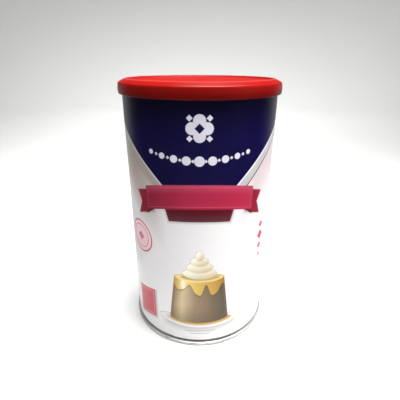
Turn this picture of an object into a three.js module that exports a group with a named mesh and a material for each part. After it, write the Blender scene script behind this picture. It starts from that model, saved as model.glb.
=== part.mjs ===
// A tall round tin can with a push-on plastic lid.
// Millimetres, +Z up. The origin is the middle of the base, on the surface that the can stands on.

import * as THREE from 'three';

// Driving dimensions
const TOTAL_HEIGHT = 149.5; // from the base to the top of the lid's rim
const WALL_RADIUS = 42.05; // outside of the printed wall
const SEAM_RADIUS = 43.3; // outside of the bottom double seam
const SEAM_HEIGHT = 2.4;
const SEAM_WIDTH = 2.8; // across the folded metal, from the outside in
const LID_RADIUS = 44.1; // outside of the lid's skirt, at its lower edge
const LID_HEIGHT = 7.5; // from the skirt's lower edge to the top of the rim
const LID_WALL = 0.65; // thickness of the skirt
const LID_PANEL_THICKNESS = 1.0;
const LID_RIM_WIDTH = 4.8; // from the outside of the skirt to the inner edge of the raised rim
const LID_PANEL_RECESS = 1.1; // how far the middle of the lid lies below its rim
const END_THICKNESS = 0.6; // of the pressed bottom end
const END_RECESS = 3.6; // of the groove inside the bottom seam, above the base
const CLEARANCE = 0.3; // between pieces that touch

// Smaller roundings and steps
const LID_DRAFT = 0.35; // how much narrower the skirt is at its top
const LID_CREST_WIDTH = 0.7; // flat on top of the rim, inside its slope
const LID_RIM_FALL = 1.85; // from that flat down to the corner of the rim and the skirt
const LID_EDGE_RADIUS = 1.2; // that corner
const LID_HEM_RADIUS = 0.7; // lower edge of the skirt
const LID_STEP = 0.8; // width of the slope between the rim and the panel
const LID_SNAP_HEIGHT = 1.3; // height of the lip that grips below the top seam
const SEAM_EDGE_RADIUS = 0.7;
const SEAM_FOOT_CHAMFER = 0.5; // on both sides of the seam's flat foot
const CHUCK_SLOPE = 0.5; // how far the wall inside the seam leans in
const CHANNEL_WIDTH = 1.4; // flat of the groove inside the seam
const PANEL_SWELL = 1.0; // how far the bottom panel stands out of that groove
const BEAD_RADIUS = 25; // middle of the ring pressed into the bottom panel
const BEAD_WIDTH = 5;
const BEAD_DEPTH = 0.5;

// Fineness
const SIDES = 72;
const ARC_STEPS = 4;

const lidBase = TOTAL_HEIGHT - LID_HEIGHT;
const lidPanelTop = TOTAL_HEIGHT - LID_PANEL_RECESS;
const lidPanelUnder = lidPanelTop - LID_PANEL_THICKNESS;
const lidCorner = [LID_RADIUS - LID_DRAFT, TOTAL_HEIGHT - LID_RIM_FALL];
const lidInnerRadius = lidCorner[0] - LID_WALL;
const lidRimUnder = lidCorner[1] - LID_WALL;
const topSeamRadius = lidInnerRadius - CLEARANCE;
const topSeamTop = lidRimUnder - CLEARANCE;
const topSeamBase = topSeamTop - SEAM_HEIGHT;
const seamInnerRadius = SEAM_RADIUS - SEAM_WIDTH;

/** Points on a circle of a profile, from one angle to another in degrees; 0 points outwards, 90 up. */
function arc(radius, height, size, from, to, steps = ARC_STEPS) {
  const points = [];
  for (let i = 0; i <= steps; i++) {
    const angle = THREE.MathUtils.degToRad(from + ((to - from) * i) / steps);
    points.push([radius + size * Math.cos(angle), height + size * Math.sin(angle)]);
  }
  return points;
}

/** A solid of revolution about Z from [radius, height] points that run up the outside, axis to axis. */
function turned(profile) {
  const points = profile.map(([radius, height]) => new THREE.Vector2(radius, height));
  return new THREE.LatheGeometry(points, SIDES).rotateX(Math.PI / 2);
}

/** The filled, closed can: a straight wall with the fold of the top seam, which the lid hides. */
function canBodyProfile() {
  const floor = SEAM_HEIGHT + CLEARANCE;
  const bellyFloor = END_RECESS + END_THICKNESS + CLEARANCE;
  const belly = seamInnerRadius - CHUCK_SLOPE;
  const edge = SEAM_EDGE_RADIUS;
  return [
    [0, bellyFloor],
    [belly, bellyFloor],
    [belly, floor],
    [WALL_RADIUS, floor],
    [WALL_RADIUS, topSeamBase - (topSeamRadius - WALL_RADIUS) / 2],
    [topSeamRadius, topSeamBase],
    ...arc(topSeamRadius - edge, topSeamTop - edge, edge, 0, 90, 2),
    [0, topSeamTop],
  ];
}

/** The pressed steel end: a panel with a ring bead, the groove round it and the folded double seam. */
function bottomEndProfile() {
  const channelOuter = seamInnerRadius - CHUCK_SLOPE - END_THICKNESS - CLEARANCE;
  const channelInner = channelOuter - CHANNEL_WIDTH;
  const panel = END_RECESS - PANEL_SWELL;
  const panelEdge = channelInner - PANEL_SWELL;
  const beadFloor = panel + BEAD_DEPTH;
  const beadSlope = BEAD_WIDTH / 4;
  return [
    [0, panel],
    [BEAD_RADIUS - BEAD_WIDTH / 2, panel],
    [BEAD_RADIUS - BEAD_WIDTH / 2 + beadSlope, beadFloor],
    [BEAD_RADIUS + BEAD_WIDTH / 2 - beadSlope, beadFloor],
    [BEAD_RADIUS + BEAD_WIDTH / 2, panel],
    [panelEdge, panel],
    [channelInner, END_RECESS],
    [channelOuter, END_RECESS],
    [seamInnerRadius, SEAM_FOOT_CHAMFER],
    [seamInnerRadius + SEAM_FOOT_CHAMFER, 0],
    [SEAM_RADIUS - SEAM_FOOT_CHAMFER, 0],
    [SEAM_RADIUS, SEAM_FOOT_CHAMFER],
    ...arc(SEAM_RADIUS - SEAM_EDGE_RADIUS, SEAM_HEIGHT - SEAM_EDGE_RADIUS, SEAM_EDGE_RADIUS, 0, 90, 3),
    [seamInnerRadius - CHUCK_SLOPE - CLEARANCE, SEAM_HEIGHT],
    [seamInnerRadius - CHUCK_SLOPE - CLEARANCE, END_RECESS + END_THICKNESS],
    [0, END_RECESS + END_THICKNESS],
  ];
}

/** The overcap: a recessed panel, a raised rim that slopes outwards and a skirt that grips the top seam. */
function lidProfile() {
  const rimInner = LID_RADIUS - LID_RIM_WIDTH;
  const panelEdge = rimInner - LID_STEP;
  const crest = rimInner + LID_CREST_WIDTH;
  const lipRadius = WALL_RADIUS + CLEARANCE;
  const [cornerRadius, cornerHeight] = lidCorner;
  const slope = THREE.MathUtils.radToDeg(Math.atan2(LID_RIM_FALL, cornerRadius - crest));
  const bend = THREE.MathUtils.degToRad(90 - slope) / 2;
  const reach = LID_EDGE_RADIUS * Math.tan(bend); // from the corner to where its rounding starts
  return [
    [0, lidPanelUnder],
    [rimInner, lidPanelUnder],
    [crest, TOTAL_HEIGHT - LID_PANEL_THICKNESS],
    [lidInnerRadius, lidRimUnder],
    [lidInnerRadius, topSeamBase - CLEARANCE],
    [lipRadius, lidBase + LID_SNAP_HEIGHT],
    [lipRadius, lidBase],
    ...arc(LID_RADIUS - LID_HEM_RADIUS, lidBase + LID_HEM_RADIUS, LID_HEM_RADIUS, -90, 0, 3),
    ...arc(cornerRadius - LID_EDGE_RADIUS, cornerHeight - reach, LID_EDGE_RADIUS, 0, 90 - slope),
    [crest, TOTAL_HEIGHT],
    [rimInner, TOTAL_HEIGHT],
    [panelEdge, lidPanelTop],
    [0, lidPanelTop],
  ];
}

const lidPlastic = new THREE.MeshStandardMaterial({ color: 0xc02a28, roughness: 0.4, metalness: 0 });
const printedTin = new THREE.MeshStandardMaterial({ color: 0xe9e4e4, roughness: 0.3, metalness: 0.1 });
const bareSteel = new THREE.MeshStandardMaterial({ color: 0xa9aaa6, roughness: 0.35, metalness: 1 });

/** A named piece of the can. */
function piece(name, profile, material) {
  const mesh = new THREE.Mesh(turned(profile), material);
  mesh.name = name;
  return mesh;
}

const can = new THREE.Group();
can.add(
  piece('can_body', canBodyProfile(), printedTin),
  piece('bottom_end', bottomEndProfile(), bareSteel),
  piece('lid', lidProfile(), lidPlastic),
);

export default can;
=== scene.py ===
"""Looks for a shut tin of condensed milk with a red plastic lid.

The file is laid out as a Blender add-on and is run as a script. Lengths are in metres, in the frame of the
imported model: +Z up, the print's front facing -Y. The print is drawn in millimetres across and up the wall.
"""

import math

import bpy
from mathutils import Matrix, Vector


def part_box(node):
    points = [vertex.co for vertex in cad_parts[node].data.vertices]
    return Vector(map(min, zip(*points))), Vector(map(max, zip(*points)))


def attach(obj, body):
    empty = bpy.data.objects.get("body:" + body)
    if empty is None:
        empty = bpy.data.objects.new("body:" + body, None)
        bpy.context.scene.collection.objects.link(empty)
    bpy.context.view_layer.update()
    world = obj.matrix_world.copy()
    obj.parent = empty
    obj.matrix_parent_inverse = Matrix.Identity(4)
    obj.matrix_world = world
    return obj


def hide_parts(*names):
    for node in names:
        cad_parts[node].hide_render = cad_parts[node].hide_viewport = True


bl_info = {
    "name": "Condensed Milk Tin",
    "version": (1, 0, 0),
    "blender": (4, 5, 0),
    "location": "3D View > Sidebar > Tin",
    "description": "Makes a printed food tin with a plastic lid, and a small studio round it",
    "category": "Object",
}

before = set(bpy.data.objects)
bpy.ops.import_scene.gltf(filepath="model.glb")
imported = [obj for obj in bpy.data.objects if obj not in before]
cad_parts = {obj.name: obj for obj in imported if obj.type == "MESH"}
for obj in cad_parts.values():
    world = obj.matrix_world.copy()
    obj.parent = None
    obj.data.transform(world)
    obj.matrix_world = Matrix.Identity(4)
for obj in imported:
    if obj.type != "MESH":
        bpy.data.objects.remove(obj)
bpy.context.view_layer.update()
LID_LOW, LID_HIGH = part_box("lid")
SEAM_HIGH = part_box("bottom_end")[1]

BODY = "root"
MM = 0.001
TURN = math.tau
WELD_TURN = TURN / 4  # the side weld is to the right of the front
BAKE_MAP = "OFBake"  # the name under which the export looks for a ready-made map


def tone(red, green, blue):
    """A linear colour from its everyday 0 to 255 values."""

    def linear(value):
        share = value / 255
        return share / 12.92 if share <= 0.04045 else ((share + 0.055) / 1.055) ** 2.4

    return tuple(linear(value) for value in (red, green, blue))


def length_prop(name, description, default):
    """A length in metres that a user may change."""
    return bpy.props.FloatProperty(
        name=name, description=description, default=default, unit="LENGTH", precision=5
    )


def angle_prop(name, description, default):
    """An angle in radians that a user may change."""
    return bpy.props.FloatProperty(
        name=name, description=description, default=default, unit="ROTATION"
    )


def power_prop(name, description, default):
    """A lamp's power in watts that a user may change."""
    return bpy.props.FloatProperty(
        name=name, description=description, default=default, unit="POWER"
    )


def colour_prop(name, description, default):
    """A linear colour that a user may change."""
    return bpy.props.FloatVectorProperty(
        name=name, description=description, default=default, subtype="COLOR", size=3, min=0, max=1
    )


# Sizes and colours


class TinSizes(bpy.types.PropertyGroup):
    """Sizes of the tin's pieces."""

    sides: bpy.props.IntProperty(
        name="Sides", description="Columns of faces round each piece", default=240, min=24
    )
    wall_radius: length_prop("Wall radius", "Outside of the printed wall", 42.05 * MM)
    neck_height: length_prop("Neck height", "Where the wall starts to draw in above the seam", 3.1 * MM)
    neck_depth: length_prop("Neck depth", "How far the wall draws in at the seam", 0.7 * MM)
    weld_width: length_prop("Weld width", "Width of the side weld at the joint of the wall", 1.3 * MM)
    weld_rise: length_prop("Weld rise", "How far the side weld stands out", 0.13 * MM)
    seam_radius: length_prop("Seam radius", "Outside of the bottom seam", SEAM_HIGH.x)
    seam_height: length_prop("Seam height", "Top of the bottom seam", 2.1 * MM)
    seam_width: length_prop("Seam width", "Across the folded metal of the seam", 2.8 * MM)
    end_recess: length_prop("End recess", "Depth of the groove inside the bottom seam", 3.6 * MM)
    lid_radius: length_prop("Lid radius", "Outside of the skirt where it swells most", LID_HIGH.x)
    lid_base: length_prop("Lid base", "Height of the skirt's lower edge", LID_LOW.z)
    lid_top: length_prop("Lid top", "Height of the lid's rim", LID_HIGH.z)
    lid_wall: length_prop("Lid wall", "Thickness of the skirt", 0.65 * MM)
    rim_width: length_prop("Rim width", "From the skirt to the inner edge of the rim", 4.8 * MM)
    panel_recess: length_prop("Panel recess", "How far the lid's middle lies below its rim", 1.1 * MM)
    rim_fall: length_prop("Rim fall", "How far the rim falls from its crest to its outer edge", 1.85 * MM)
    skirt_draft: length_prop("Skirt draft", "How much narrower the skirt is at its top", 0.35 * MM)
    edge_radius: length_prop("Edge radius", "Rounding of the lid's outer top edge", 1.2 * MM)
    hem_radius: length_prop("Hem radius", "Rounding of the skirt's lower edge", 0.7 * MM)


class TinColours(bpy.types.PropertyGroup):
    """Inks, plastic and metal."""

    white: colour_prop("White", "Ground of the print", tone(231, 228, 229))
    navy: colour_prop("Navy", "Upper field", tone(12, 6, 62))
    # Navy darkened at the top of the field: painted shade under the lid.
    navy_lid_shade: colour_prop("Midnight", "Darker top of the upper field", tone(8, 4, 35))
    # Painted shade below the border on the tin's left flank.
    taupe: colour_prop("Taupe", "Shade below the border on its left", tone(168, 153, 145))
    blush: colour_prop("Blush", "Shade below the border on its right", tone(212, 193, 196))
    # Darker border on the left: painted shade on the tin's left flank.
    shaded_left_border: colour_prop("Dark taupe", "Border of the upper field on its left", tone(164, 156, 150))
    pearl: colour_prop("Pearl", "Border of the upper field on its right", tone(186, 183, 185))
    lilac: colour_prop("Lilac", "Ornaments and the edge of the upper field", tone(222, 219, 230))
    grey_ink: colour_prop("Grey ink", "Fine lines and printed shadows", tone(78, 75, 80))
    crimson: colour_prop("Crimson", "Ribbon", tone(174, 30, 66))
    crimson_light: colour_prop("Light crimson", "Lit edge of the ribbon", tone(208, 90, 120))
    crimson_dark: colour_prop("Dark crimson", "Tails of the ribbon", tone(146, 22, 50))
    burgundy: colour_prop("Burgundy", "Folds and the strip below the ribbon", tone(94, 8, 28))
    rose: colour_prop("Rose", "Seal and diamonds at the sides", tone(208, 72, 104))
    rose_pale: colour_prop("Pale rose", "Ground of the seal", tone(244, 214, 220))
    brick: colour_prop("Brick", "Square at the side", tone(190, 66, 80))
    brick_pale: colour_prop("Pale brick", "Line inside the square", tone(226, 132, 140))
    cream: colour_prop("Cream", "Whipped cream in the picture", tone(250, 244, 226))
    china: colour_prop("China", "Plate in the picture", tone(226, 224, 222))
    # Painted shade in the groove above the bottom seam.
    groove: colour_prop("Groove", "Shaded tin just above the bottom seam", tone(32, 31, 31))
    steel: colour_prop("Steel", "Bare tinplate", tone(224, 224, 220))
    lid_red: colour_prop("Lid red", "Plastic of the lid", tone(143, 16, 12))


class StudioSettings(bpy.types.PropertyGroup):
    """Camera, floor and lights."""

    lens: bpy.props.FloatProperty(
        name="Lens", description="Focal length in millimetres on a 36 mm sensor", default=28.62
    )
    camera_distance: length_prop("Camera distance", "From the tin's axis to the camera", 184.8 * MM)
    camera_height: length_prop("Camera height", "Above the floor", 156.8 * MM)
    camera_aside: length_prop("Camera aside", "To the right of the tin's axis", 0.3 * MM)
    camera_pitch: angle_prop("Camera pitch", "How far the camera looks down", math.radians(23.33))
    camera_roll: angle_prop("Camera roll", "Lean of the camera", 0.0039)
    paper: colour_prop("Paper", "Floor and backdrop", tone(215, 215, 214))
    top_power: power_prop("Top", "Lamp above, in watts", 3.7)
    side_power: power_prop("Side", "Lamp on the right, in watts", 1.3)
    back_power: power_prop("Back", "Lamp on the floor behind the tin, in watts", 8.5)
    backdrop_power: power_prop("Backdrop", "Lamps on the backdrop all round, in watts", 2.8)
    sky: bpy.props.FloatProperty(
        name="Sky", description="Strength of the light from all round", default=0.55
    )


# Node wiring


class Wire:
    """An output socket. Arithmetic on wires and numbers adds the Math nodes that work it out."""

    def __init__(self, nodes, socket):
        self.nodes = nodes
        self.socket = socket

    def math(self, operation, *values, clamp=False):
        settings = {"operation": operation, "use_clamp": clamp}
        return self.nodes.node("ShaderNodeMath", settings, dict(enumerate(values)))

    def __add__(self, other):
        return self.math("ADD", self, other)

    def __radd__(self, other):
        return self.math("ADD", other, self)

    def __sub__(self, other):
        return self.math("SUBTRACT", self, other)

    def __rsub__(self, other):
        return self.math("SUBTRACT", other, self)

    def __mul__(self, other):
        return self.math("MULTIPLY", self, other)

    def __rmul__(self, other):
        return self.math("MULTIPLY", other, self)

    def __truediv__(self, other):
        return self.math("DIVIDE", self, other)

    def __rtruediv__(self, other):
        return self.math("DIVIDE", other, self)

    def __neg__(self):
        return self.math("MULTIPLY", self, -1)

    def __abs__(self):
        return self.math("ABSOLUTE", self)

    def at_least(self, other):
        return self.math("MAXIMUM", self, other)

    def at_most(self, other):
        return self.math("MINIMUM", self, other)

    def clamped(self):
        return self.math("ADD", self, 0, clamp=True)


class Nodes:
    """A node tree under construction."""

    def __init__(self, tree):
        self.tree = tree
        tree.nodes.clear()

    def node(self, kind, settings=None, inputs=None, output=0):
        """Adds a node: its settings first, then the values or wires of its sockets. Gives one output."""
        made = self.tree.nodes.new(kind)
        for name, value in (settings or {}).items():
            if name == "stops":
                self.set_stops(made.color_ramp.elements, value)
            else:
                setattr(made, name, value)
        for key, value in (inputs or {}).items():
            if isinstance(value, Wire):
                self.tree.links.new(value.socket, made.inputs[key])
            else:
                made.inputs[key].default_value = value
        return Wire(self, made.outputs[output]) if made.outputs else made

    @staticmethod
    def set_stops(elements, stops):
        while len(elements) < len(stops):
            elements.new(1)
        for element, (place, colour) in zip(elements, stops):
            element.position = place
            element.color = (*colour, 1)

    def blend(self, share, under, over):
        """One colour laid over another."""
        settings = {"data_type": "RGBA"}
        colours = [value if isinstance(value, Wire) else (*value, 1) for value in (under, over)]
        return self.node("ShaderNodeMix", settings, {0: share, 6: colours[0], 7: colours[1]}, output=2)

    def ramp(self, value, *stops):
        """A colour that runs through (place, colour) stops."""
        return self.node("ShaderNodeValToRGB", {"stops": stops}, {0: value})

    def vector(self, x, y, z=0.0):
        return self.node("ShaderNodeCombineXYZ", None, {0: x, 1: y, 2: z})

    def parts(self, vector):
        """The three values of a vector."""
        split = self.node("ShaderNodeSeparateXYZ", None, {0: vector}).socket.node
        return [Wire(self, socket) for socket in split.outputs]

    def length(self, x, y):
        settings = {"operation": "LENGTH"}
        return self.node("ShaderNodeVectorMath", settings, {0: self.vector(x, y)}, output="Value")

    def noise(self, place, scale, detail=2.0, roughness=0.5):
        inputs = {"Vector": place, "Scale": scale, "Detail": detail, "Roughness": roughness}
        return self.node("ShaderNodeTexNoise", None, inputs)

    def point(self):
        """The point on the piece, in metres."""
        return self.node("ShaderNodeTexCoord", output="Object")

    def turn(self, x, y):
        """The turn about the axis, from the front to the right."""
        return x.math("ARCTAN2", x, -y)


def new_finish(name):
    """A material and the builder of its nodes."""
    material = bpy.data.materials.new(name)
    material.use_nodes = True
    return material, Nodes(material.node_tree)


def surface(nodes, colour, roughness, bump, **others):
    """Ends a finish with its surface shader; other sockets are named with _ for a space."""
    inputs = {"Base Color": colour, "Roughness": roughness, "Normal": bump}
    inputs.update({name.replace("_", " "): value for name, value in others.items()})
    shader = nodes.node("ShaderNodeBsdfPrincipled", None, inputs)
    nodes.node("ShaderNodeOutputMaterial", None, {"Surface": shader})


def relief(nodes, height, depth):
    """A bump whose height of 0 to 1 stands for a depth in metres."""
    return nodes.node("ShaderNodeBump", None, {"Strength": 1.0, "Distance": depth, "Height": height})


# Turned meshes

SHARP_FROM = math.radians(45)  # a bend between faces that the light shows as an edge


def add_object(name, data):
    """A new object in the scene."""
    made = bpy.data.objects.new(name, data)
    bpy.context.scene.collection.objects.link(made)
    return made


def add_mesh(name, vertices, faces):
    """A smooth mesh in the scene."""
    mesh = bpy.data.meshes.new(name)
    mesh.from_pydata(vertices, [], faces)
    mesh.shade_smooth()
    return add_object(name, mesh)


def at_turn(radius, turn, height):
    """A point at a turn about the axis, from the front to the right."""
    return radius * math.sin(turn), -radius * math.cos(turn), height


def turn_of(x, y):
    """The turn about the axis at which a point lies."""
    return math.atan2(x, -y)


def even_turns(sides):
    return [TURN * side / sides for side in range(sides)]


def rounded(corners, steps=7):
    """A profile through (radius, height, rounding) corners, with the roundings drawn as arcs."""
    points = [Vector(corners[0][:2])]
    for before, corner, after in zip(corners, corners[1:], corners[2:]):
        here = Vector(corner[:2])
        rounding = corner[2]
        if rounding == 0:
            points.append(here)
            continue
        into = (here - Vector(before[:2])).normalized()
        onward = (Vector(after[:2]) - here).normalized()
        turn = into.angle_signed(onward)
        reach = rounding * math.tan(abs(turn) / 2)
        centre = here + (onward - into).normalized() * (rounding / math.cos(turn / 2))
        arm = here - into * reach - centre
        for step in range(steps + 1):
            points.append(centre + Matrix.Rotation(-turn * step / steps, 2) @ arm)
    points.append(Vector(corners[-1][:2]))
    return points


def held(points, margin=0.12 * MM):
    """The profile with extra points at the ends of its long runs, which keep those flat in the light."""
    kept = []
    for here, after in zip(points, points[1:]):
        kept.append(here)
        run = after - here
        if run.length > 4 * margin:
            step = run.normalized() * margin
            kept += [here + step, after - step]
    return kept + [points[-1]]


def turned(name, profile, turns):
    """A closed solid of revolution. The profile runs from the axis, out underneath, up and back."""
    rings = profile[1:-1]
    columns = len(turns)
    vertices = [(0, 0, profile[0].y)]
    vertices += [at_turn(point.x, turn, point.y) for point in rings for turn in turns]
    vertices.append((0, 0, profile[-1].y))
    first, last = 0, len(vertices) - 1
    top_row = len(rings) - 1

    def at(row, column):
        return 1 + row * columns + column % columns

    faces = []
    for column in range(columns):
        after = column + 1
        faces.append((first, at(0, after), at(0, column)))
        for row in range(top_row):
            faces.append((at(row, column), at(row, after), at(row + 1, after), at(row + 1, column)))
        faces.append((at(top_row, column), at(top_row, after), last))
    piece = add_mesh(name, vertices, faces)
    piece.data.set_sharp_from_angle(angle=SHARP_FROM)
    return piece


def settle(piece, node, material):
    """Dresses a piece and lets it stand for a node of the frame."""
    piece.data.materials.append(material)
    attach(piece, BODY)
    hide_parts(node)
    if not all(polygon.area > 0 for polygon in piece.data.polygons):
        raise RuntimeError(f"{piece.name} has a face with no area")


# The print

EDGE = 0.16  # softness of an ink's edge, in millimetres


def diamond(beside, above, reach):
    """The distance to a diamond from a place beside and above its middle."""
    return (abs(beside) + abs(above) - reach) * math.sqrt(0.5)


class Artwork:
    """Layers of ink in millimetres: across, from the middle of a panel to its right, and up.

    A shape is given by the distance to its edge, which is below zero inside it.
    """

    def __init__(self, nodes, across, up, ground):
        self.nodes = nodes
        self.across = across
        self.up = up
        self.colour = ground

    def lay(self, colour, cover):
        """Lays a colour as thickly as a cover of 0 to 1 says."""
        self.colour = self.nodes.blend(cover, self.colour, colour)

    @staticmethod
    def cover(distance, soft=EDGE, full=1.0):
        """Full inside a shape and none outside."""
        inside = distance.math("MULTIPLY_ADD", distance, -1 / soft, 0.5, clamp=True)
        return inside if full == 1.0 else inside * full

    def fill(self, colour, distance, soft=EDGE, full=1.0):
        """Lays a colour inside a shape."""
        self.lay(colour, self.cover(distance, soft, full))

    def line(self, colour, distance, half_width, full=1.0):
        """Lays a colour along the edge of a shape."""
        self.fill(colour, abs(distance) - half_width, full=full)

    def spot(self, across, up, half_width, half_height):
        """A cover that fades from the middle of a round patch to its edge."""
        beside = (self.across - across) / half_width
        above = (self.up - up) / half_height
        return (1 - (beside * beside + above * above)).clamped()

    def disc(self, across, up, radius):
        return self.nodes.length(self.across - across, self.up - up) - radius

    def ellipse(self, across, up, half_width, half_height):
        beside = self.across - across
        above = self.up - up
        reach = self.nodes.length(beside / half_width, above / half_height)
        slope = self.nodes.length(beside / half_width**2, above / half_height**2)
        return reach * (reach - 1) / slope

    def diamond(self, across, up, reach):
        return diamond(self.across - across, self.up - up, reach)

    def bar(self, across, up, half_width, half_height):
        side = abs(self.across - across) - half_width
        return side.at_least(abs(self.up - up) - half_height)


def lay_fields(art, inks):
    """A navy field that narrows down behind the ribbon and darkens under the lid with painted shade, in a
    border with a soft shade below it that is painted shade on the left.
    """
    tip, steepness, bow = 80.8, 1.188, 0.0057  # where the field would end, its edge's slope and curve
    lowest, border_lowest = 88, 92  # the ribbon hides where the field and its border end
    lean = 0.78  # turns a distance straight down into one square to the edge
    border_width, width_height, narrowing = 5.4, 104, 0.08  # the border narrows upwards
    border_line, rim_width = 0.33, 0.9
    # The navy darkens towards the lid above this height: painted shade under the lid.
    lid_shade_from, lid_shade_over = 126, 15
    change_over = 8  # from the inks of the left side to those of the right one

    # On the left the border is darker and its lilac edge fainter: painted shade on the tin's left flank.
    left = (0.5 - art.across / change_over).clamped()
    aside = abs(art.across)
    edge = (tip + aside * (steepness - bow * aside)).at_least(lowest)
    below = (edge - art.up) * lean
    from_border = below - (border_width - (art.up - width_height) * narrowing)
    border = from_border.at_least(border_lowest - art.up)
    # The taupe shade on the left is painted shade under the border and on the tin's left flank.
    for colour, middle, half_width, reach in ((inks.taupe, -42, 24, 22), (inks.blush, 40, 20, 18)):
        along = (art.across - middle) / half_width
        down = from_border / reach
        art.lay(colour, (1 - along * along).clamped() * (1 - down * down).clamped())
    art.lay(inks.shaded_left_border, art.cover(border, soft=3) * left)
    art.lay(inks.pearl, art.cover(border) * (1 - left))
    art.lay(inks.grey_ink, art.cover(abs(border) - border_line) * (1 - left * 0.8))
    art.lay(inks.lilac, art.cover(below - rim_width, soft=0.8) * (1 - left * 0.4))
    # Painted shade under the lid darkens the top of the navy field.
    lid_shade = ((art.up - lid_shade_from) / lid_shade_over).clamped()
    art.fill(art.nodes.blend(lid_shade, inks.navy, inks.navy_lid_shade), below)


def lay_ornament(art, inks):
    """A quatrefoil over a row of pearls that shrink to both sides, with a spark between each two."""
    middle, heart = 129.8, 2.3
    lobe_reach, lobe_radius = 3.5, 2.9
    tip_reach, tip_size = 4.6, 1.5
    aside = abs(art.across)
    rise = abs(art.up - middle)
    beside = art.nodes.length(aside - lobe_reach, rise)
    above = art.nodes.length(aside, rise - lobe_reach)
    art.fill(inks.lilac, beside.at_most(above) - lobe_radius)
    art.fill(inks.lilac, diamond(aside - tip_reach, rise - tip_reach, tip_size))
    art.fill(inks.navy, art.diamond(0, middle, heart))

    pitch, reach = 6.2, 26.5
    row_height, row_bow = 114.6, 0.005
    pearl_radius, pearl_shrink, spark = 2.5, 0.052, 0.85
    for shift in (0, 0.5):
        step = (aside.math("ROUND", art.across / pitch - shift) + shift) * pitch
        gap = art.across - step
        rise = art.up - (row_height + step * step * row_bow)
        if shift == 0:
            shape = art.nodes.length(gap, rise) - (pearl_radius - abs(step) * pearl_shrink)
        else:
            shape = diamond(gap, rise, spark)
        art.fill(inks.lilac, shape.at_least(aside - reach))


def lay_ribbon(art, inks):
    """A bare ribbon that arches across the panel, with folded tails and a strip hung below it."""
    height, bow, half_width = 96.45, 0.0046, 30.2
    half_middle, flare = 6.45, 0.0002  # half of its height in the middle, and how that grows to the sides
    tail_start, tail_reach, tail_drop, notch_depth = 24.6, 37.4, 1.9, 3.2
    fold_slope = 0.45
    strip_foot, strip_bow, strip_top = 82.9, 0.0035, 92
    strip_half, strip_flare, flare_from = 16.1, 0.3, 82
    foot_shade = 5
    dusk_from, dusk_over = -8, 44  # the ribbon darkens to its left
    lit_from, lit_gain = 0.62, 1.1  # it lightens above this share of its height

    aside = abs(art.across)
    square = art.across * art.across
    half_height = half_middle + square * flare
    from_middle = art.up - (height - square * bow)
    main = (abs(from_middle) - half_height).at_least(aside - half_width)

    above_foot = art.up - (strip_foot - square * strip_bow)
    strip_side = aside - (strip_half + (art.up - flare_from) * strip_flare)
    strip = strip_side.at_least(-above_foot).at_least(art.up - strip_top)
    art.fill(inks.grey_ink, strip - 0.4, soft=2.6, full=0.6)
    art.fill(inks.burgundy, strip)
    art.lay(inks.grey_ink, (1 - above_foot / foot_shade).clamped() * art.cover(strip, full=0.4))
    art.line(inks.crimson_dark, strip + 0.9, half_width=0.14, full=0.6)

    from_tail = from_middle + tail_drop
    notch = (1 - abs(from_tail) / half_height) * notch_depth
    behind = tail_start - aside
    tail = (abs(from_tail) - half_height).at_least(aside - tail_reach + notch).at_least(behind)
    fold = (aside - half_width).at_least(behind * fold_slope - from_middle - half_height)
    fold = fold.at_least(from_middle).at_least(behind)
    art.fill(inks.grey_ink, tail - 0.2, soft=1.6, full=0.35)
    art.fill(inks.crimson_dark, tail.at_least(half_width - aside))
    art.fill(inks.burgundy, fold)
    shade = art.cover(main - 0.5, soft=2.6, full=0.5)
    art.lay(inks.burgundy, shade * art.cover(tail.at_most(strip)))

    cover = art.cover(main)
    art.lay(inks.crimson, cover)
    art.lay(inks.burgundy, ((dusk_from - art.across) / dusk_over).clamped() * cover)
    lit = ((from_middle + half_height) / (half_height * 2) - lit_from) * lit_gain
    art.lay(inks.crimson_light, lit.clamped() * cover)
    art.line(inks.crimson_light, main + 1.25, half_width=0.13, full=0.7)


def lay_plate(art, inks):
    """A plate with a pool of sauce on it, and the plate's shadow."""
    well_grey, sauce, sauce_shade = tone(190, 184, 176), tone(206, 168, 84), tone(120, 88, 40)
    shadow = art.ellipse(1.0, 1.6, 17, 2.6)
    plate = art.ellipse(0, 4.4, 19.6, 3.9)
    well = art.ellipse(0, 4.8, 15.6, 2.7)
    pool = art.ellipse(0.8, 4.6, 14.6, 2.2)
    pool_shade = art.ellipse(0.5, 5.0, 13.6, 1.7)
    art.fill(inks.grey_ink, shadow, soft=4, full=0.4)
    art.fill(inks.china, plate)
    art.line(inks.grey_ink, plate + 0.2, half_width=0.12, full=0.6)
    art.fill(well_grey, well, soft=1.0, full=0.8)
    art.fill(sauce, pool, soft=0.5)
    art.fill(sauce_shade, pool_shade, soft=1.2, full=0.7)


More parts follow.
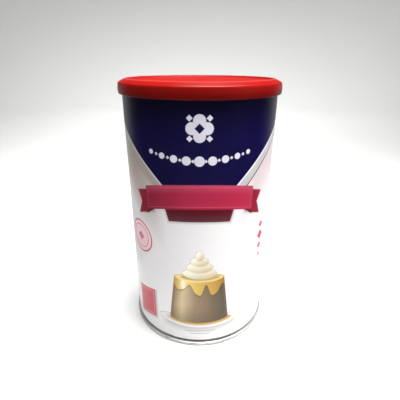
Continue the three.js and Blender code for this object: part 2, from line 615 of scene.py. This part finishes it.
def lay_pudding(art, inks):
    """A caramel pudding with golden sauce that runs down from its top."""
    foot, top, half_foot, taper = 6.0, 28.0, 13.4, 0.115
    foot_shade, shade_from = 9, 2  # the shade's height, and how far it starts below the foot
    drip_from, drip_length, drip_change = 24.6, 4.6, 1.9
    flesh_shade, drip_shade = tone(70, 54, 36), tone(92, 66, 32)
    cap_light, cap_shade = tone(246, 228, 160), tone(150, 112, 48)
    nodes, across, up = art.nodes, art.across, art.up

    half = half_foot - (up - foot) * taper
    lean = (across / half + 1) * 0.5  # 0 at the left edge and 1 at the right one
    side = (abs(across) - half).at_least(foot - up).at_least(up - top)
    body = side.at_most(art.ellipse(0, foot, half_foot, 2.4))
    marbling = nodes.noise(nodes.vector(across * 0.16, up * 0.05), 1.0) * 0.12 - 0.06
    flesh = nodes.ramp(
        lean + marbling,
        (0.0, tone(116, 92, 64)),
        (0.2, tone(206, 186, 146)),
        (0.42, tone(150, 127, 98)),
        (0.75, tone(108, 90, 68)),
        (0.93, tone(84, 70, 54)),
        (1.0, tone(104, 90, 72)),
    )
    art.fill(flesh, body)
    low = (1 - (up - foot + shade_from) / foot_shade).clamped()
    art.lay(flesh_shade, art.cover(body) * low * 0.5)

    sauce = nodes.ramp(
        lean,
        (0.0, tone(186, 146, 62)),
        (0.2, tone(244, 220, 142)),
        (0.45, tone(216, 182, 90)),
        (0.8, tone(188, 148, 62)),
        (1.0, tone(150, 110, 42)),
    )
    hollow = 0.5 - across.math("COSINE", across * 0.86 + 0.5) * 0.5  # 0 in a drip and 1 between two
    fall = drip_length + across.math("COSINE", across * 0.33 - 1.0) * drip_change
    drip_end = drip_from - (1 - hollow * hollow) * fall
    drip = ((drip_end - up) * 0.8).at_least(side)
    cap = art.ellipse(0, top, 10.9, 2.3)
    cap_dip = art.ellipse(0.6, 28.2, 8.6, 1.5)
    art.lay(drip_shade, art.cover(drip - 0.45, soft=1.1, full=0.6) * art.cover(body))
    art.fill(sauce, drip.at_most(cap))
    art.lay(inks.cream, art.spot(-7.0, 24.4, 1.4, 3.4) * art.cover(drip) * 0.8)
    art.fill(cap_light, cap + 0.3, soft=0.7, full=0.8)
    art.fill(cap_shade, cap_dip, soft=1.0, full=0.6)


def lay_cream(art, inks):
    """Whipped cream in four layers on top of the pudding."""
    middle = 0.2
    shade_middle, shade_right, shade_down = 0.42, 0.42, 0.5
    outline, cream_shade = tone(168, 150, 118), tone(206, 190, 156)
    layers = ((30.2, 7.2, 2.7), (33.3, 5.5, 2.5), (36.2, 3.7, 2.2), (38.9, 1.6, 2.2))
    for up, half_width, half_height in layers:
        whip = art.ellipse(middle, up, half_width, half_height)
        to_right = (art.across - middle) * (shade_right / half_width)
        shade = shade_middle + to_right - (art.up - up) * (shade_down / half_height)
        art.fill(outline, whip - 0.15, soft=0.6, full=0.6)
        art.fill(art.nodes.blend(shade.clamped(), inks.cream, cream_shade), whip)


def lay_picture(art, inks):
    """A pudding on a plate, drawn at its own scale."""
    scale, base = 1.3, 12.0
    picture = Artwork(art.nodes, art.across / scale, (art.up - base) / scale, art.colour)
    lay_plate(picture, inks)
    lay_pudding(picture, inks)
    lay_cream(picture, inks)
    art.colour = picture.colour


def lay_side_marks(art, inks):
    """Bare marks round the picture: a ringed seal, a leaning square, small diamonds and two fine lines."""
    seal_across, seal_up, seal_radius = -38, 66.5, 9.6
    seal = art.disc(seal_across, seal_up, seal_radius)
    art.fill(inks.rose_pale, seal - 0.2)
    art.line(inks.rose, seal, half_width=0.45)
    art.line(inks.rose, seal + 2.6, half_width=0.28, full=0.8)
    art.fill(inks.rose, art.diamond(seal_across, seal_up, 3.0), full=0.8)

    square_across, square_up, slant = -36.5, 21.4, 0.25
    half_width, half_height = 8.2, 10
    across = art.across - square_across
    square = Artwork(art.nodes, across, art.up - square_up - across * slant, art.colour)
    square.fill(inks.grey_ink, square.bar(0.8, -0.9, half_width, half_height), soft=3.0, full=0.75)
    card = square.bar(0, 0, half_width, half_height)
    square.fill(inks.brick, card)
    square.line(inks.brick_pale, card + 1.4, half_width=0.28, full=0.8)
    art.colour = square.colour

    diamonds_across = 41
    for up, reach in ((73, 2.2), (66, 3.2), (59, 2.2), (53, 1.4)):
        art.fill(inks.rose, art.diamond(diamonds_across, up, reach))
    for up, half_width in ((10.4, 9), (8.4, 6)):
        art.fill(inks.grey_ink, art.bar(0.5, up, half_width, 0.16), full=0.7)


# The wall

WALL_GAP = 0.25 * MM  # between the bottom seam and the wall that stands on it


def printed_tin(sizes, inks):
    """Varnished ink on tinplate, which is bare at the side weld and dark with painted shade in the groove
    below the print.
    """
    bare_half, print_low, groove_shade_top = 2.0, 3.5, 3.3  # millimetres
    material, nodes = new_finish("printed_tin")
    point = nodes.point()
    x, y, z = nodes.parts(point)
    turn = nodes.turn(x, y)
    panel = turn.math("WRAP", turn, math.pi / 2, -math.pi / 2)
    radius = sizes.wall_radius / MM
    up = z / MM
    art = Artwork(nodes, panel * radius, up, inks.white)
    for lay in (lay_fields, lay_ornament, lay_picture, lay_side_marks, lay_ribbon):
        lay(art, inks)

    weld_gap = abs(turn - WELD_TURN) * radius - bare_half
    bare = art.cover(weld_gap.at_most(up - print_low), soft=0.3)
    brushed = nodes.noise(nodes.vector(turn * 60, z * 40), 14, detail=4)
    dull_steel = tone(120, 121, 118)
    art.lay(nodes.ramp(brushed, (0.3, dull_steel), (0.7, inks.steel)), bare)
    # Painted shade in the groove between the wall and the bottom seam.
    art.fill(inks.groove, up - groove_shade_top, soft=0.4, full=0.9)

    smear = nodes.noise(point, 38, detail=3)
    peel = nodes.noise(point, 1400, detail=1)
    sag = nodes.noise(point, 30, detail=1)
    roughness = 0.27 + smear * 0.08 + bare * 0.1  # below about 0.274, denoised renders show specks
    bump = relief(nodes, peel * 0.3 + sag * 6, 0.02 * MM)
    surface(nodes, art.colour, roughness, bump, Metallic=bare * 0.7, Specular_IOR_Level=0.35, IOR=1.5)
    return material


def wall_columns(sizes):
    """Even columns round the wall, with extra ones at the side weld."""
    shares = (-1, -0.7, -0.5, -0.3, 0.3, 0.5, 0.7, 1)
    near = [WELD_TURN + sizes.weld_width * share / sizes.wall_radius for share in shares]
    gap = 0.6 * TURN / sizes.sides
    even = [turn for turn in even_turns(sizes.sides) if all(abs(turn - other) > gap for other in near)]
    return sorted(even + near)


def raise_weld(piece, sizes):
    """Lifts the overlap of the sheet at the side weld, from just above the neck."""
    half, slope = 0.72 * sizes.weld_width, 0.3 * sizes.weld_width
    for vertex in piece.data.vertices:
        x, y, z = vertex.co
        radius = math.hypot(x, y)
        if radius < sizes.wall_radius - sizes.neck_depth - MM:
            continue
        gap = abs(turn_of(x, y) - WELD_TURN) * radius
        share = min(1, max(0, (half - gap) / slope))
        height = min(1, max(0, (z - sizes.neck_height) / MM))
        grown = 1 + sizes.weld_rise * share * height / radius
        vertex.co.x = x * grown
        vertex.co.y = y * grown


def between(start, end, share):
    return start + (end - start) * share


def unroll(piece, sizes):
    """A map with the wall laid out flat, and the hidden ends in two strips above and below it."""
    low = sizes.seam_height + WALL_GAP + 0.01 * MM
    high = sizes.lid_base + 3 * MM
    wall_width = 0.98
    layer = piece.data.uv_layers.new(name=BAKE_MAP)
    for polygon in piece.data.polygons:
        middle = turn_of(polygon.center.x, polygon.center.y)
        for loop in polygon.loop_indices:
            x, y, z = piece.data.vertices[piece.data.loops[loop].vertex_index].co
            radius = math.hypot(x, y)
            turn = turn_of(x, y) if radius > MM else middle
            if abs(turn - middle) > math.pi:
                turn += math.copysign(TURN, middle)
            inwards = 1 - min(1, radius / sizes.wall_radius)
            if z > high:
                up = between(0.96, 0.99, inwards)
            elif z > low:
                up = between(0.04, 0.95, (z - low) / (high - low))
            else:
                up = between(0.03, 0.01, inwards)
            layer.data[loop].uv = (0.5 + wall_width * turn / TURN, up)


class TIN_OT_make_wall(bpy.types.Operator):
    """Make the printed wall of the tin"""

    bl_idname = "tin.make_wall"
    bl_label = "Make Wall"

    def execute(self, context):
        sizes = context.scene.tin_sizes
        floor = sizes.seam_height + WALL_GAP
        neck = sizes.wall_radius - sizes.neck_depth
        neck_top = sizes.neck_height - 0.6 * MM
        shoulder = sizes.lid_base + 2.4 * MM
        hidden = sizes.wall_radius - MM  # the wall draws in where the lid hides it
        top = sizes.lid_top - sizes.panel_recess - 1.4 * MM
        profile = rounded(
            [
                (0, floor, 0),
                (neck, floor, 0.2 * MM),
                (neck, neck_top, 0.3 * MM),
                (sizes.wall_radius, sizes.neck_height, 0.5 * MM),
                (sizes.wall_radius, shoulder, 0.3 * MM),
                (hidden, shoulder + 0.6 * MM, 0.3 * MM),
                (hidden, top, 0.4 * MM),
                (0, top, 0),
            ]
        )
        piece = turned("can_wall", held(profile), wall_columns(sizes))
        raise_weld(piece, sizes)
        unroll(piece, sizes)
        settle(piece, "can_body", printed_tin(sizes, context.scene.tin_colours))
        return {"FINISHED"}


# The steel bottom end


def bare_tinplate(inks):
    """Tinplate with rolling marks round the axis and a little dullness in patches."""
    material, nodes = new_finish("bare_tinplate")
    point = nodes.point()
    x, y, z = nodes.parts(point)
    out = nodes.length(x, y)
    streaks = nodes.noise(nodes.vector(nodes.turn(x, y) * 1.5, out * 2600, z * 2600), 1.0, detail=3)
    patches = nodes.noise(point, 90, detail=3)
    shade = streaks * 0.55 + patches * 0.45
    grey_steel = tone(172, 173, 170)
    colour = nodes.ramp(shade, (0.3, grey_steel), (0.62, inks.steel))
    roughness = 0.26 + patches * 0.1 + streaks * 0.06
    surface(nodes, colour, roughness, relief(nodes, streaks, 0.012 * MM), Metallic=0.7)
    return material


class TIN_OT_make_bottom(bpy.types.Operator):
    """Make the pressed steel end and its folded seam"""

    bl_idname = "tin.make_bottom"
    bl_label = "Make Bottom End"

    def execute(self, context):
        sizes = context.scene.tin_sizes
        outer = sizes.seam_radius
        inner = outer - sizes.seam_width
        channel = inner - 1.4 * MM
        channel_inner = channel - 1.5 * MM
        panel = sizes.end_recess - MM
        panel_edge = channel_inner - 1.1 * MM
        bead_top, bead_rounding = panel + 0.5 * MM, 0.8 * MM
        bevel = 0.5 * MM
        seam_inside = sizes.seam_height + 0.1 * MM
        top = sizes.end_recess + 0.6 * MM
        corners = [(0, panel, 0)]
        for middle, half in ((14 * MM, 1.6 * MM), (25 * MM, 2.5 * MM)):
            flat = half * 0.4
            corners += [
                (middle - half, panel, bead_rounding),
                (middle - flat, bead_top, bead_rounding),
                (middle + flat, bead_top, bead_rounding),
                (middle + half, panel, bead_rounding),
            ]
        corners += [
            (panel_edge, panel, 0.7 * MM),
            (channel_inner, sizes.end_recess, 0.5 * MM),
            (channel, sizes.end_recess, 0.5 * MM),
            (inner, 0.4 * MM, 0.4 * MM),
            (inner + bevel, 0, 0.3 * MM),
            (outer - bevel, 0, 0.4 * MM),
            (outer, 0.6 * MM, 0.5 * MM),
            (outer, sizes.seam_height, 0.75 * MM),
            (sizes.wall_radius, sizes.seam_height - 0.15 * MM, 0.2 * MM),
            (sizes.wall_radius - 1.2 * MM, seam_inside, 0.2 * MM),
            (inner - MM, seam_inside, 0.2 * MM),
            (inner - MM, top, 0.2 * MM),
            (0, top, 0),
        ]
        piece = turned("bottom_end_steel", held(rounded(corners, steps=5)), even_turns(sizes.sides))
        settle(piece, "bottom_end", bare_tinplate(context.scene.tin_colours))
        return {"FINISHED"}


# The plastic lid


def lid_plastic(sizes, inks):
    """Moulded red plastic: a fine grain, turning marks, a hem darkened with painted shade, and a paler crest
    that is partly light scuffs and partly a painted highlight.
    """
    mark_pitch, hem_shade_height, matt_over = 1.1 * MM, 5 * MM, 0.6 * MM
    rim_low, rim_over = sizes.lid_top - 0.5 * MM, 0.4 * MM
    material, nodes = new_finish("lid_plastic")
    point = nodes.point()
    x, y, z = nodes.parts(point)
    out = nodes.length(x, y)
    cloud = nodes.noise(point, 55, detail=3)
    grain = nodes.noise(point, 2600, detail=1)
    flow = nodes.noise(nodes.vector(nodes.turn(x, y) * 9, out * 40, z * 40), 1.0, detail=3)
    marks = out.math("SINE", out * (TURN / mark_pitch))
    scuff = nodes.noise(nodes.vector(x * 900, y * 110, z * 900), 1.0, detail=4, roughness=0.7)
    # The rim's crest is paler all along as a painted highlight, with light scuffs over it.
    rim = ((z - rim_low) / rim_over).clamped()
    scuffs_and_highlight = (((scuff - 0.6) * 8).clamped() * 0.5 + 0.5) * rim

    deep = tuple(value * 0.8 for value in inks.lid_red)
    dark = tuple(value * 0.4 for value in inks.lid_red)
    pale = tuple(value * 1.5 + 0.05 for value in inks.lid_red)
    # The skirt darkens towards its hem: painted shade.
    hem = (1 - (z - sizes.lid_base) / hem_shade_height).clamped()
    colour = nodes.blend(cloud * 0.6 + flow * 0.4, deep, inks.lid_red)
    colour = nodes.blend(hem, colour, dark)
    colour = nodes.blend(scuffs_and_highlight, colour, pale)

    matt = ((sizes.lid_radius - sizes.rim_width - out) / matt_over).clamped()
    roughness = 0.26 + matt * 0.24 + cloud * 0.06 + flow * 0.04 + scuffs_and_highlight * 0.1
    bump = relief(nodes, grain * 0.5 + flow * 0.8 + marks * 0.06 + scuffs_and_highlight * 0.4, 0.02 * MM)
    surface(nodes, colour, roughness, bump, IOR=1.5, Specular_IOR_Level=0.1)
    return material


class TIN_OT_make_lid(bpy.types.Operator):
    """Make the plastic lid"""

    bl_idname = "tin.make_lid"
    bl_label = "Make Lid"

    def execute(self, context):
        sizes = context.scene.tin_sizes
        panel = sizes.lid_top - sizes.panel_recess
        under = panel - MM
        rim_inner = sizes.lid_radius - sizes.rim_width
        crest = rim_inner + 0.7 * MM
        corner = sizes.lid_radius - sizes.skirt_draft
        corner_height = sizes.lid_top - sizes.rim_fall
        inside = corner - sizes.lid_wall
        lip = sizes.wall_radius + 0.15 * MM
        hem = sizes.lid_radius - 0.25 * MM
        swell_height = sizes.lid_base + 2.6 * MM
        step, step_edge = panel - 0.15 * MM, 31 * MM
        gate, gate_dish = 1.3 * MM, 3.4 * MM  # the stub where the plastic went in, and the dip round it
        gate_floor, gate_top = panel - 0.4 * MM, panel - 0.1 * MM
        profile = rounded(
            [
                (0, under, 0),
                (rim_inner, under, 0.3 * MM),
                (crest, sizes.lid_top - MM, 0.4 * MM),
                (inside, corner_height - sizes.lid_wall, 0.5 * MM),
                (inside, sizes.lid_base + 2.2 * MM, 0.3 * MM),
                (lip, sizes.lid_base + 1.3 * MM, 0.3 * MM),
                (lip, sizes.lid_base, 0.2 * MM),
                (hem, sizes.lid_base, sizes.hem_radius),
                (sizes.lid_radius, swell_height, 8 * MM),
                (corner, corner_height, sizes.edge_radius),
                (crest, sizes.lid_top, 3.0 * MM),
                (rim_inner, sizes.lid_top, 0.4 * MM),
                (rim_inner - 0.7 * MM, panel, 0.45 * MM),
                (step_edge, panel, 0.3 * MM),
                (step_edge - 0.6 * MM, step, 0.3 * MM),
                (gate_dish, step, 0.5 * MM),
                (gate_dish - 1.2 * MM, gate_floor, 0.5 * MM),
                (gate, gate_floor, 0.1 * MM),
                (gate * 0.9, gate_top, 0.1 * MM),
                (0, gate_top, 0),
            ]
        )
        piece = turned("lid_cap", held(profile), even_turns(sizes.sides))
        settle(piece, "lid", lid_plastic(sizes, context.scene.tin_colours))
        return {"FINISHED"}


# The studio


def add_lamp(name, place, aim, width, power, spread):
    """A soft square lamp that the camera doesn't see; its spread is in degrees."""
    lamp = bpy.data.lights.new(name, "AREA")
    lamp.energy = power
    lamp.size = width
    lamp.spread = math.radians(spread)
    holder = add_object(name, lamp)
    holder.location = place
    holder.rotation_mode = "QUATERNION"
    holder.rotation_quaternion = (Vector(aim) - Vector(place)).to_track_quat("-Z", "Y")
    holder.visible_camera = False
    return holder


def add_lamps(studio):
    """A lamp above, one on the right, one on the floor behind, and a ring of them on the backdrop."""
    above, right, behind = (0.1, 0, 0.8), (0.75, -0.45, 0.28), (0, 0.35, 1.2)
    lid, wall, far_floor = (0, 0, 0.15), (0, 0, 0.08), (0, 1.0, 0)
    add_lamp("top_lamp", above, lid, 0.5, studio.top_power, spread=70)
    side_lamp = add_lamp("side_lamp", right, wall, 0.5, studio.side_power, spread=120)
    side_lamp.visible_glossy = False
    add_lamp("back_lamp", behind, far_floor, 0.8, studio.back_power, spread=90)

    ring_radius, ring_height = 1.05, 1.3
    aim_radius, aim_height = 1.8, 0.45
    for degrees, share in ((-138, 0.8), (138, 1.2), (-75, 1.2), (75, 1.2), (0, 1.2)):
        turn = math.radians(degrees)
        place = at_turn(ring_radius, turn, ring_height)
        aim = at_turn(aim_radius, turn, aim_height)
        add_lamp("backdrop_lamp", place, aim, 0.6, studio.backdrop_power * share, spread=140)


def add_camera(studio):
    """The camera, looking along +Y and down on the tin."""
    data = bpy.data.cameras.new("camera")
    data.lens = studio.lens
    data.sensor_width = 36
    data.clip_start = 0.01
    camera = add_object("camera", data)
    sine, cosine = math.sin(studio.camera_pitch), math.cos(studio.camera_pitch)
    back = Vector((0, -cosine, sine))
    lean = Matrix.Rotation(studio.camera_roll, 3, back)
    right = lean @ Vector((1, 0, 0))
    up = lean @ Vector((0, sine, cosine))
    camera.matrix_world = Matrix((right, up, back)).transposed().to_4x4()
    camera.location = (studio.camera_aside, -studio.camera_distance, studio.camera_height)
    bpy.context.scene.camera = camera


def studio_paper(colour):
    """Matt paper with the faintest mottling."""
    material, nodes = new_finish("studio_paper")
    mottle = nodes.noise(nodes.point(), 6, detail=2)
    shade = nodes.blend(mottle, tuple(value * 0.985 for value in colour), tuple(colour))
    surface(nodes, shade, 0.9, relief(nodes, mottle, 0.1 * MM), Specular_IOR_Level=0.1)
    return material


def add_round_floor(name, points, material):
    """A floor turned from an open profile that runs outwards."""
    sides = 96
    vertices = [at_turn(point.x, turn, point.y) for point in points for turn in even_turns(sides)]
    faces = []
    for row in range(len(points) - 1):
        low, high = row * sides, (row + 1) * sides
        for column in range(sides):
            after = (column + 1) % sides
            faces.append((high + column, high + after, low + after, low + column))
    floor = add_mesh(name, vertices, faces)
    floor.data.materials.append(material)
    return floor


def add_sweep(colour):
    """Paper under the tin, and a wide sweep round it that rises to a wall and stays out of reflections."""
    near, reach, bend, height, steps = 0.09, 1.1, 0.7, 1.3, 24
    material = studio_paper(colour)
    add_round_floor("near_floor", [Vector((MM, 0)), Vector((near, 0))], material)
    points = [Vector((near, 0)), Vector((0.3, 0)), Vector((0.7, 0))]
    for step in range(steps + 1):
        angle = math.pi / 2 * step / steps
        points.append(Vector((reach + bend * math.sin(angle), bend - bend * math.cos(angle))))
    points.append(Vector((reach + bend, height)))
    far_floor = add_round_floor("far_floor", points, material)
    far_floor.visible_glossy = False


def add_sky(strength):
    """Light from all round: dim in front of the tin and above it, bright behind it and low down."""
    dim, above_horizon = 0.04, 0.25  # shares of the full light
    back_from, back_over = 0.32, 0.4
    high, high_over = 0.4, 0.25
    horizon, horizon_over = 0.06, 0.1
    world = bpy.data.worlds.new("studio_air")
    world.use_nodes = True
    nodes = Nodes(world.node_tree)
    heading = nodes.node("ShaderNodeTexCoord", output="Generated")
    _, behind, rise = nodes.parts(heading)
    backwards = ((behind - back_from) / back_over).clamped()
    not_high = ((high - rise) / high_over).clamped()
    low = above_horizon + ((horizon - rise) / horizon_over).clamped() * (1 - above_horizon)
    light = (dim + backwards * not_high * low * (1 - dim)) * strength
    sky = nodes.node("ShaderNodeBackground", None, {"Color": (1, 1, 1, 1), "Strength": light})
    nodes.node("ShaderNodeOutputWorld", None, {"Surface": sky})
    bpy.context.scene.world = world


class TIN_OT_make_studio(bpy.types.Operator):
    """Make the floor, the lights and the camera"""

    bl_idname = "tin.make_studio"
    bl_label = "Make Studio"

    def execute(self, context):
        studio = context.scene.tin_studio
        add_sweep(studio.paper)
        add_lamps(studio)
        add_sky(studio.sky)
        add_camera(studio)
        context.scene.view_settings.view_transform = "Standard"
        return {"FINISHED"}


# The add-on


class TIN_PT_tin(bpy.types.Panel):
    """The tin's sizes, colours and pieces"""

    bl_idname = "TIN_PT_tin"
    bl_label = "Condensed Milk Tin"
    bl_space_type = "VIEW_3D"
    bl_region_type = "UI"
    bl_category = "Tin"

    def draw(self, context):
        for operator in OPERATORS:
            self.layout.operator(operator.bl_idname)
        for name, group in GROUPS.items():
            box = self.layout.box()
            for prop in group.__annotations__:
                box.prop(getattr(context.scene, name), prop)


GROUPS = {"tin_sizes": TinSizes, "tin_colours": TinColours, "tin_studio": StudioSettings}
OPERATORS = (TIN_OT_make_wall, TIN_OT_make_bottom, TIN_OT_make_lid, TIN_OT_make_studio)
CLASSES = (*GROUPS.values(), *OPERATORS, TIN_PT_tin)


def register():
    for cls in CLASSES:
        bpy.utils.register_class(cls)
    for name, group in GROUPS.items():
        setattr(bpy.types.Scene, name, bpy.props.PointerProperty(type=group))


def unregister():
    for name in GROUPS:
        delattr(bpy.types.Scene, name)
    for cls in reversed(CLASSES):
        bpy.utils.unregister_class(cls)


def main():
    register()
    bpy.ops.tin.make_wall()
    bpy.ops.tin.make_bottom()
    bpy.ops.tin.make_lid()
    bpy.ops.tin.make_studio()
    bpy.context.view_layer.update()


if __name__ == "__main__":
    main()
